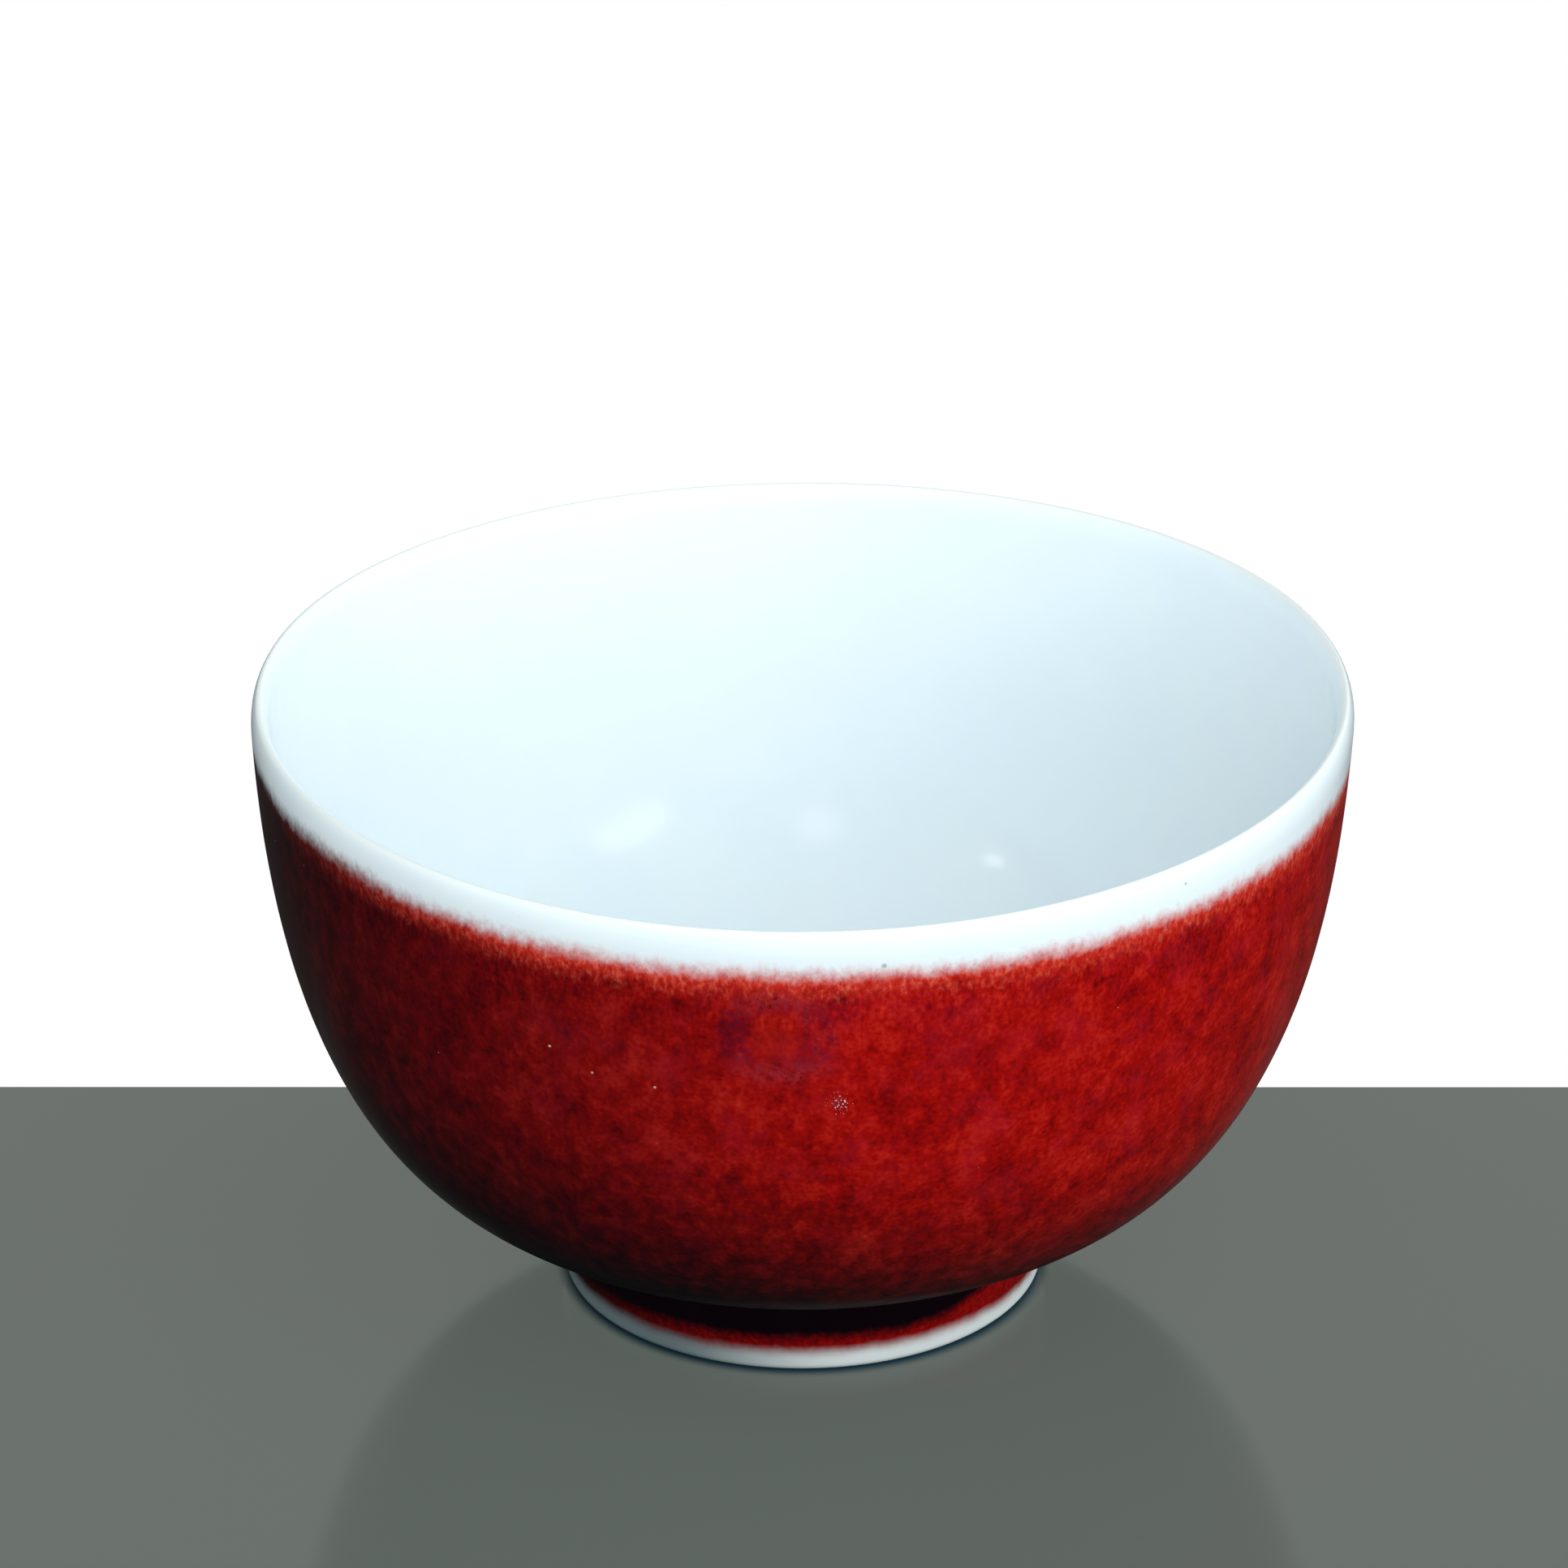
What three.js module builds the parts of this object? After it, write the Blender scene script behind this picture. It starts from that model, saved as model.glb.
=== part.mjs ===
// A footed porcelain bowl with a copper-red glaze outside and a clear glaze inside.
// Millimetres, +Z up, origin at the centre of the foot's resting plane.
// The clay is two pieces, the thrown bowl and the foot ring under it. Each glaze is a coat of its own real
// thickness, and its inner face is the very outline of the clay that it covers.
import * as THREE from "three";

// Overall sizes
const BOWL_HEIGHT = 73; // resting plane to the top of the glazed lip
const RIM_RADIUS = 62.5; // outside of the glazed lip

// Foot ring
const FOOT_RING_HEIGHT = 10.4; // resting plane to the joint with the bowl
const FOOT_RADIUS = 27.9; // outside of the ring, just above its rounded tip
const FOOT_FLARE = 0.3; // how much wider the ring is at the joint
const FOOT_LAND = 1.5; // width of the flat band that it rests on
const FOOT_OUTER_ROUND = 1.0; // rounding of the tip, outside
const FOOT_INNER_ROUND = 0.8; // rounding of the tip, inside
const FOOT_ROOT_THICKNESS = 4.6; // wall of the ring at the joint

// Clay of the bowl
const LIP_CLAY = 1.4; // clay at the lip
const WALL_CLAY_AT_FOOT = 3; // clay over the foot ring
const FLOOR_CLAY = 4.2; // clay at the middle of the floor
const BELLY_RISE = THREE.MathUtils.degToRad(6.5); // slope of the belly as it leaves the foot
const WALL_LEAN = THREE.MathUtils.degToRad(2); // lean of the wall below the lip
const BELLY_FULLNESS = 0.775; // how far out the belly keeps to its first slope
const WALL_FULLNESS = 0.447; // how far down the wall keeps to its lean

// Glaze coats
const CLEAR_GLAZE = 0.35; // inside and on the base
const LIP_GLAZE = 0.3; // thin, where the colour has drained off the lip
const RED_GLAZE_AT_FOOT = 0.8; // thick, where the running glaze has gathered
const RED_GLAZE_EDGE = 0.2; // last edge of the red, low on the foot
const COVE_RADIUS = 1.5; // hollow of the glaze where the belly leaves the foot
const WHITE_BAND = 4.2; // from the top of the lip down to the red
const INNER_BAND = 2; // from the top of the lip down to the inner glaze
const BARE_FOOT = 2.4; // height of the wiped band at the tip of the foot
const BASE_GLAZE_STOP = 2; // height where the base glaze ends inside the foot

// Steps of the turned forms
const SIDES = 56;
const COVE_STEPS = 3;
const BELLY_STEPS = 12;
const BAND_STEPS = 2;
const LIP_STEPS = 6;
const FLOOR_STEPS = 4;
const ROUND_STEPS = 3;

const COLOURS = {
  biscuit: { color: 0xe9ebe8, roughness: 0.55, metalness: 0 },
  clearGlaze: { color: 0xe2f0f4, roughness: 0.12, metalness: 0 },
  lipGlaze: { color: 0xe6f1f2, roughness: 0.14, metalness: 0 },
  redGlaze: { color: 0x8c1410, roughness: 0.12, metalness: 0 },
};

// A station is a point of an outline with the unit normal that points out of the clay there.
function station(r, z, normalR, normalZ) {
  return { point: new THREE.Vector2(r, z), normal: new THREE.Vector2(normalR, normalZ) };
}

// The place on an outline that lies a distance out from a station, along its normal.
function raised({ point, normal }, distance) {
  return point.clone().addScaledVector(normal, distance);
}

// The station at a share of a curve that is walked with the clay on its left.
function stationOn(curve, share) {
  const point = curve.getPoint(share);
  const tangent = curve.getTangent(share);
  return station(point.x, point.y, tangent.y, -tangent.x);
}

// A closed outline turned about the vertical axis. Its solid side is on the left of the walk.
function turned(points) {
  const first = points[0];
  const last = points[points.length - 1];
  const onAxis = first.x === 0 && last.x === 0;
  const outline = onAxis ? points : [...points, first.clone()];
  return new THREE.LatheGeometry(outline, SIDES).rotateX(Math.PI / 2);
}

// A coat over a run of stations. thicknesses holds one value for each station.
function coat(run, thicknesses) {
  const outer = run.map((place, i) => raised(place, thicknesses[i]));
  const inner = run.map(({ point }) => point).reverse();
  return turned([...outer, ...inner]);
}

function sharesOf(steps) {
  return Array.from({ length: steps + 1 }, (_, i) => i / steps);
}

// Outside of the bowl, from the cove above the foot up to the lip.
const footTopRadius = FOOT_RADIUS + FOOT_FLARE;
const lipRadius = LIP_CLAY / 2;
const lipCentre = new THREE.Vector2(RIM_RADIUS - LIP_GLAZE - lipRadius, BOWL_HEIGHT - LIP_GLAZE - lipRadius);
const clayCoveRadius = COVE_RADIUS + RED_GLAZE_AT_FOOT;
const coveCentre = new THREE.Vector2(footTopRadius + clayCoveRadius, FOOT_RING_HEIGHT);

function coveStation(share) {
  const turn = share * (Math.PI / 2 - BELLY_RISE);
  const normal = new THREE.Vector2(Math.cos(turn), -Math.sin(turn));
  const point = coveCentre.clone().addScaledVector(normal, -clayCoveRadius);
  return station(point.x, point.y, normal.x, normal.y);
}

function bellyCurve() {
  const start = coveStation(1).point;
  const wallNormal = new THREE.Vector2(Math.cos(WALL_LEAN), -Math.sin(WALL_LEAN));
  const end = lipCentre.clone().addScaledVector(wallNormal, lipRadius);
  const outward = new THREE.Vector2(Math.cos(BELLY_RISE), Math.sin(BELLY_RISE));
  const downward = new THREE.Vector2(-Math.sin(WALL_LEAN), -Math.cos(WALL_LEAN));
  return new THREE.CubicBezierCurve(
    start,
    start.clone().addScaledVector(outward, BELLY_FULLNESS * (end.x - start.x)),
    end.clone().addScaledVector(downward, WALL_FULLNESS * (end.y - start.y)),
    end,
  );
}

const belly = bellyCurve();

// The share of the belly curve at a height, found by halving.
function bellyShareAt(height) {
  let low = 0;
  let high = 1;
  while (high - low > 1e-9) {
    const middle = (low + high) / 2;
    if (belly.getPoint(middle).y < height) low = middle;
    else high = middle;
  }
  return (low + high) / 2;
}

const redTopShare = bellyShareAt(BOWL_HEIGHT - WHITE_BAND);
const innerBandShare = bellyShareAt(BOWL_HEIGHT - INNER_BAND);

// The clay at a share of the belly curve: thin at the lip, thick over the foot.
function wallClay(share) {
  return THREE.MathUtils.lerp(WALL_CLAY_AT_FOOT, LIP_CLAY, share);
}

function innerStation(share) {
  const outside = stationOn(belly, share);
  const point = raised(outside, -wallClay(share));
  return station(point.x, point.y, -outside.normal.x, -outside.normal.y);
}

function lipStation(share) {
  const angle = share * Math.PI - WALL_LEAN;
  const normal = new THREE.Vector2(Math.cos(angle), Math.sin(angle));
  const point = lipCentre.clone().addScaledVector(normal, lipRadius);
  return station(point.x, point.y, normal.x, normal.y);
}

// The floor runs level at the middle and meets the wall at the wall's own slope.
const floorMiddle = station(0, FOOT_RING_HEIGHT + FLOOR_CLAY, 0, 1);

function floorCurve() {
  const edge = innerStation(0).point;
  const reach = edge.x / 3;
  return new THREE.CubicBezierCurve(
    edge,
    new THREE.Vector2(edge.x - reach, edge.y - reach * Math.tan(BELLY_RISE)),
    new THREE.Vector2(reach, floorMiddle.point.y),
    floorMiddle.point,
  );
}

const cove = sharesOf(COVE_STEPS).map(coveStation);
const outerWall = sharesOf(BELLY_STEPS)
  .slice(1)
  .map((share) => stationOn(belly, share * redTopShare));
const outerBand = sharesOf(BAND_STEPS)
  .slice(1)
  .map((share) => stationOn(belly, THREE.MathUtils.lerp(redTopShare, 1, share)));
const lip = sharesOf(LIP_STEPS).slice(1).map(lipStation);
const innerBand = [innerStation(innerBandShare)];
const innerWall = sharesOf(BELLY_STEPS)
  .slice(1)
  .map((share) => innerStation(innerBandShare * (1 - share)));
const floorEdge = sharesOf(FLOOR_STEPS)
  .slice(1, -1)
  .map((share) => stationOn(floorCurve(), share));
const floorRun = [...floorEdge, floorMiddle];

// The foot ring's outside from its tip up, and its inside from the joint down.
const landOuterRadius = FOOT_RADIUS - FOOT_OUTER_ROUND;
const landInnerRadius = landOuterRadius - FOOT_LAND;
const recessMouthRadius = landInnerRadius - FOOT_INNER_ROUND;
const recessTopRadius = footTopRadius - FOOT_ROOT_THICKNESS;

function footOutside(height) {
  const rise = (height - FOOT_OUTER_ROUND) / (FOOT_RING_HEIGHT - FOOT_OUTER_ROUND);
  return station(THREE.MathUtils.lerp(FOOT_RADIUS, footTopRadius, rise), height, 1, 0);
}

function footInside(height) {
  const rise = (height - FOOT_INNER_ROUND) / (FOOT_RING_HEIGHT - FOOT_INNER_ROUND);
  return station(THREE.MathUtils.lerp(recessMouthRadius, recessTopRadius, rise), height, -1, 0);
}

function quarterRound(centreR, radius, fromAngle) {
  return sharesOf(ROUND_STEPS).map((share) => {
    const angle = fromAngle + (share * Math.PI) / 2;
    return new THREE.Vector2(centreR + radius * Math.cos(angle), radius + radius * Math.sin(angle));
  });
}

const redFootRun = [BARE_FOOT, (BARE_FOOT + FOOT_RING_HEIGHT) / 2, FOOT_RING_HEIGHT].map(footOutside);
const baseWallRun = [FOOT_RING_HEIGHT, BASE_GLAZE_STOP].map(footInside);

function bowlBody() {
  const underside = [new THREE.Vector2(0, FOOT_RING_HEIGHT)];
  const clay = [...cove, ...outerWall, ...outerBand, ...lip, ...innerBand, ...innerWall, ...floorRun];
  return turned([...underside, ...clay.map(({ point }) => point)]);
}

function footRing() {
  return turned([
    ...quarterRound(landOuterRadius, FOOT_OUTER_ROUND, -Math.PI / 2),
    ...redFootRun.map(({ point }) => point),
    ...baseWallRun.map(({ point }) => point),
    ...quarterRound(landInnerRadius, FOOT_INNER_ROUND, Math.PI),
  ]);
}

// Copper-red coat: thin under the white band, thicker down the wall, thickest in the cove.
function redGlaze() {
  const run = [...cove, ...outerWall];
  const thicknesses = run.map((_, i) => {
    const climbed = Math.max(0, i - COVE_STEPS) / BELLY_STEPS;
    return THREE.MathUtils.lerp(RED_GLAZE_AT_FOOT, LIP_GLAZE, climbed);
  });
  return coat(run, thicknesses);
}

function footRedGlaze() {
  const middle = (RED_GLAZE_EDGE + RED_GLAZE_AT_FOOT) / 2;
  return coat(redFootRun, [RED_GLAZE_EDGE, middle, RED_GLAZE_AT_FOOT]);
}

function lipGlaze() {
  const run = [...outerWall.slice(-1), ...outerBand, ...lip, ...innerBand];
  return coat(run, run.map(() => LIP_GLAZE));
}

function innerGlaze() {
  const run = [...innerBand, ...innerWall, ...floorRun];
  const clay = run.map(({ point }) => point).reverse();
  const surface = run.map((place, i) => raised(place, i === 0 ? LIP_GLAZE : CLEAR_GLAZE));
  return turned([...clay, ...surface]);
}

// Clear coat on the ceiling of the recess and down the inside of the foot.
function baseGlaze() {
  const [wallTop, wallEnd] = baseWallRun;
  return turned([
    new THREE.Vector2(0, FOOT_RING_HEIGHT - CLEAR_GLAZE),
    new THREE.Vector2(wallTop.point.x - CLEAR_GLAZE, FOOT_RING_HEIGHT - CLEAR_GLAZE),
    raised(wallEnd, CLEAR_GLAZE),
    wallEnd.point,
    wallTop.point,
    new THREE.Vector2(0, FOOT_RING_HEIGHT),
  ]);
}

const bowl = new THREE.Group();

function add(name, geometry, finish) {
  const mesh = new THREE.Mesh(geometry, new THREE.MeshStandardMaterial(COLOURS[finish]));
  mesh.name = name;
  bowl.add(mesh);
}

add("bowl_body", bowlBody(), "biscuit");
add("foot_ring", footRing(), "biscuit");
add("red_glaze", redGlaze(), "redGlaze");
add("foot_red_glaze", footRedGlaze(), "redGlaze");
add("lip_glaze", lipGlaze(), "lipGlaze");
add("inner_glaze", innerGlaze(), "clearGlaze");
add("base_glaze", baseGlaze(), "clearGlaze");

export default bowl;
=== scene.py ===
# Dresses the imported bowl. Every piece of clay and glaze is turned again as a fine mesh where its solid lies,
# and gets its finish: copper-red glaze outside, clear glaze inside, bare clay at the foot. Metres throughout.
import math
from collections import namedtuple

import bpy
from bpy.props import FloatProperty, FloatVectorProperty, IntProperty, PointerProperty
from bpy.types import Operator, Panel, PropertyGroup
from mathutils import Matrix, Vector, noise


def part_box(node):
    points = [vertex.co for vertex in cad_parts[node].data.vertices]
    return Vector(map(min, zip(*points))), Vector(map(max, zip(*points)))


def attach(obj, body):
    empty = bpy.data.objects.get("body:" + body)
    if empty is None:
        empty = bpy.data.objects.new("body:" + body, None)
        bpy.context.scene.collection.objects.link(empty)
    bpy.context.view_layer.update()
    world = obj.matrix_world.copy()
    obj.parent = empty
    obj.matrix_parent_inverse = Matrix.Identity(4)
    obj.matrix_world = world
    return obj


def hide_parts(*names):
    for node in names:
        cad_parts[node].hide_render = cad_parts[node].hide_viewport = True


bl_info = {
    "name": "Copper-Red Bowl",
    "version": (1, 0, 0),
    "blender": (4, 5, 0),
    "location": "3D View > Sidebar > Bowl",
    "description": "Makes a glazed porcelain bowl on a foot ring, and the stage to see it on",
    "category": "Add Mesh",
}

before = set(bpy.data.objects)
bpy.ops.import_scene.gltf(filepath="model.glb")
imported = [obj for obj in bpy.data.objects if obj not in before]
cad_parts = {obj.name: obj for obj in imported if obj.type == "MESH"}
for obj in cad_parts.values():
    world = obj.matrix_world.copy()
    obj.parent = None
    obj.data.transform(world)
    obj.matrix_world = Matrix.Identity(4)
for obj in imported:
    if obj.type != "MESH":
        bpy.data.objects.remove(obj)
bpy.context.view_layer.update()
BODY = "root"
MM = 0.001

# What the solids say of the bowl's sizes
LIP_LOW, LIP_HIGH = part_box("lip_glaze")
FOOT_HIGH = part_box("foot_ring")[1]
FOOT_RED_LOW, FOOT_RED_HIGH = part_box("foot_red_glaze")
BASE_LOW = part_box("base_glaze")[0]
INNER_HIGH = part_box("inner_glaze")[1]

Station = namedtuple("Station", "point normal")


def length(name, description, default):
    return FloatProperty(name=name, description=description, default=default, unit="LENGTH", precision=5)


def share(name, description, default):
    return FloatProperty(name=name, description=description, default=default, subtype="FACTOR")


def angle(name, description, degrees):
    return FloatProperty(name=name, description=description, default=math.radians(degrees), unit="ROTATION")


def colour(name, description, default):
    return FloatVectorProperty(
        name=name, description=description, default=default, size=3, subtype="COLOR", min=0, max=1
    )


class BowlShape(PropertyGroup):
    """Sizes of the clay and of the glaze coats."""

    rim_radius: length("Rim radius", "Outside of the glazed lip", LIP_HIGH.x)
    height: length("Height", "Resting plane to the top of the lip", LIP_HIGH.z)
    foot_height: length("Foot height", "Resting plane to the joint of foot and bowl", FOOT_HIGH.z)
    foot_radius: length("Foot radius", "Outside of the foot ring, just above its tip", 27.9 * MM)
    foot_top_radius: length("Foot top radius", "Outside of the foot ring at the joint", FOOT_HIGH.x)
    foot_wall: length("Foot wall", "Wall of the foot ring at the joint", 4.6 * MM)
    foot_land: length("Foot land", "Width of the flat band that the bowl rests on", 1.5 * MM)
    foot_outer_round: length("Outer rounding", "Rounding of the foot's tip, outside", 1 * MM)
    foot_inner_round: length("Inner rounding", "Rounding of the foot's tip, inside", 0.8 * MM)
    lip_clay: length("Clay at the lip", "Thickness of the clay at the lip", 1.4 * MM)
    foot_clay: length("Clay over the foot", "Thickness of the wall's clay over the foot", 3 * MM)
    floor_clay: length("Floor clay", "Thickness of the clay at the middle of the floor", 4.2 * MM)
    belly_rise: angle("Belly rise", "Slope of the belly as it leaves the foot", 6.5)
    wall_lean: angle("Wall lean", "Lean of the wall below the lip", 2)
    belly_fullness: share("Belly fullness", "How far out the belly keeps to its first slope", 0.775)
    wall_fullness: share("Wall fullness", "How far down the wall keeps to its lean", 0.447)
    clear_glaze: length("Clear glaze", "Thickness of the glaze inside and on the base", 0.35 * MM)
    lip_glaze: length("Lip glaze", "Thickness of the glaze over the lip", 0.3 * MM)
    red_glaze: length("Red glaze", "Thickness of the red glaze at the foot", FOOT_RED_HIGH.x - FOOT_HIGH.x)
    red_edge: length("Red edge", "Thickness of the red glaze at its last edge", 0.2 * MM)
    cove_radius: length("Cove", "Hollow of the glaze where the belly leaves the foot", 1.5 * MM)
    red_top: length("Red top", "Height where the red coat meets the lip's coat", LIP_LOW.z)
    inner_top: length("Inner top", "Height where the inner coat meets the lip's coat", INNER_HIGH.z)
    bare_foot: length("Bare foot", "Height of the bare band at the foot's tip", FOOT_RED_LOW.z)
    base_stop: length("Base stop", "Height where the base glaze ends inside the foot", BASE_LOW.z)
    base_fillet: length("Base fillet", "Rounding of the base glaze in the recess's corner", 1.2 * MM)
    lip_rounding: length("Lip rounding", "Height over which the lip rounds off outside", 3.3 * MM)
    lip_inner_rounding: length("Lip inner rounding", "Height over which the lip rounds off inside", 2.6 * MM)
    rim_warp: length("Rim warp", "How far the kiln has lifted two sides of the rim", 0.47 * MM)
    rim_pull: length("Rim pull", "How far the rim has moved outwards on one side", 0.45 * MM)
    wheel_marks: length("Wheel marks", "Depth of the faint unevenness left by throwing", 0.05 * MM)
    segments: IntProperty(name="Segments", description="Sides of each turned piece", default=192, min=24)
    wall_steps: IntProperty(name="Wall steps", description="Rings up the wall", default=84, min=8)


class BowlColours(PropertyGroup):
    """Colours of the clay and of the glazes."""

    white: colour("White glaze", "Clear glaze over the white clay", (0.83, 0.905, 0.955))
    crest: colour("Lip crest", "Thin glaze on the crest of the lip", (0.87, 0.92, 0.92))
    clay: colour("Bare clay", "Fired clay at the foot's tip", (0.70, 0.73, 0.73))
    rust: colour("Rust", "Iron specks in the bare clay", (0.32, 0.09, 0.03))
    # Black red: the thickest glaze, and also the painted shade on the dark sides of the wall and foot.
    black_red_and_shade: colour("Black red", "Red glaze where it lies thickest", (0.004, 0.001, 0.003))
    deep_red: colour("Deep red", "Dark mottles of the red glaze", (0.17, 0.001, 0.002))
    full_red: colour("Full red", "Body of the red glaze", (0.36, 0.003, 0.002))
    bright_red: colour("Bright red", "Bright mottles of the red glaze", (0.50, 0.014, 0.008))
    pale_red: colour("Pale red", "Palest mottles and pinholes of the red glaze", (0.60, 0.065, 0.040))
    flame_red: colour("Flame red", "Orange-red band where the red glaze thins", (0.60, 0.030, 0.016))
    fringe_dark: colour("Fringe dark", "Dark flecks of the band under the fringe", (0.42, 0.010, 0.006))
    fringe_pale: colour("Fringe pale", "Salmon flecks of the band under the fringe", (0.70, 0.11, 0.07))
    crimson: colour("Crimson", "Cooler blushes in the red glaze", (0.44, 0.012, 0.030))
    plum: colour("Plum", "Purplish clouds in the red glaze", (0.17, 0.006, 0.028))
    # Painted reflection: these two colours make the ring that stands for a lamp seen in the glaze.
    reflection_ring_side: colour("Halo sides", "The halo's two dark sides", (0.13, 0.004, 0.020))
    reflection_ring_end: colour("Halo ends", "The halo above and below its middle", (0.36, 0.022, 0.034))
    # Painted glint: pale specks that stand for a broken-up reflection.
    painted_glint: colour("Crystal", "Pale crystals of the boiled spot", (0.80, 0.62, 0.46))
    pit: colour("Pit", "Pinholes in the red glaze", (0.62, 0.42, 0.38))
    pale_speck: colour("Pale speck", "Single specks in the red", (0.72, 0.55, 0.46))
    grey_speck: colour("Grey speck", "Single specks in the white", (0.30, 0.36, 0.36))
    iron_speck: colour("Iron speck", "Faint specks in the clear glaze", (0.45, 0.47, 0.45))
    thin_white: colour("Thin white", "Clear glaze where it clouds", (0.86, 0.93, 0.94))
    dull_clay: colour("Dull clay", "Clouds in the bare clay", (0.62, 0.64, 0.62))
    # Painted shade: bare clay darkened on the foot's side away from the light.
    painted_shade_clay: colour("Smoked clay", "Bare clay on the foot's dark side", (0.13, 0.17, 0.18))
    floor: colour("Floor", "Plain floor", (0.032, 0.034, 0.031))
    floor_grain: colour("Floor grain", "Faint grain of the floor", (0.06, 0.06, 0.06))
    # Painted shadow: a dark line on the floor stands for the foot's contact shadow.
    painted_contact_shadow: colour("Contact line", "Dark line on the floor around the foot", (0.004, 0.040, 0.065))
    floor_glow: colour("Floor glow", "Light that comes up through the floor", (0.086, 0.102, 0.092))
    backdrop: colour("Backdrop", "Plain white behind the bowl", (1, 1, 1))


class BowlStage(PropertyGroup):
    """Camera, floor and lights."""

    camera_distance: length("Camera distance", "From the middle of the rim", 875 * MM)
    camera_elevation: angle("Camera elevation", "Height of the camera above the horizon", 24.275)
    camera_yaw: angle("Camera yaw", "Turn of the camera off the rim's middle", 0.126)
    camera_pitch: angle("Camera pitch", "Tilt of the camera off the rim's middle", -0.704)
    camera_roll: angle("Camera roll", "Roll of the camera", 0.258)
    camera_lens: FloatProperty(name="Lens", description="Focal length on a 36 mm sensor", default=176.78)
    floor_width: length("Floor width", "Floor from side to side", 600 * MM)
    floor_front: length("Floor front", "Floor in front of the bowl's axis", 350 * MM)
    floor_back: length("Floor back", "Floor behind the bowl's axis", 44 * MM)
    floor_turn: angle("Floor turn", "Turn that levels the floor's far edge in the picture", -0.57)
    floor_thickness: length("Floor thickness", "Thickness of the floor's slab", 8 * MM)
    floor_bevel: length("Floor bevel", "Softening of the floor's edge", 1 * MM)
    # Where the painted contact shadow under the foot begins.
    painted_shadow_radius: length("Contact radius", "Where the dark line under the foot begins", 27.4 * MM)


# Outlines, as points in the plane of the axis: x is the radius and y the height


def cubic(handles, along):
    """The place and the direction at a share of a cubic curve."""
    a, b, c, d = handles
    left = 1 - along
    point = left**3 * a + 3 * left**2 * along * b + 3 * left * along**2 * c + along**3 * d
    direction = left**2 * (b - a) + 2 * left * along * (c - b) + along**2 * (d - c)
    return point, direction.normalized()


def station_on(handles, along):
    """A station on a curve that is walked with the clay on its left."""
    point, direction = cubic(handles, along)
    return Station(point, Vector((direction.y, -direction.x)))


def arc(centre, radius, start, end, steps):
    """Stations on an arc, with their normals away from its centre."""
    stations = []
    for i in range(steps + 1):
        turn = start + (end - start) * i / steps
        normal = Vector((math.cos(turn), math.sin(turn)))
        stations.append(Station(centre + radius * normal, normal))
    return stations


def blend(first, second, along):
    return first + (second - first) * along


def ease(along):
    """A smooth step from 0 to 1."""
    along = min(max(along, 0), 1)
    return along * along * (3 - 2 * along)


def shares(first, last, steps):
    return [first + (last - first) * i / steps for i in range(steps + 1)]


def points(stations):
    return [station.point for station in stations]


def raised(stations, thickness_at):
    """Points above the stations, each by what thickness_at gives for its number in the run."""
    return [place.point + place.normal * thickness_at(i) for i, place in enumerate(stations)]


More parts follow.
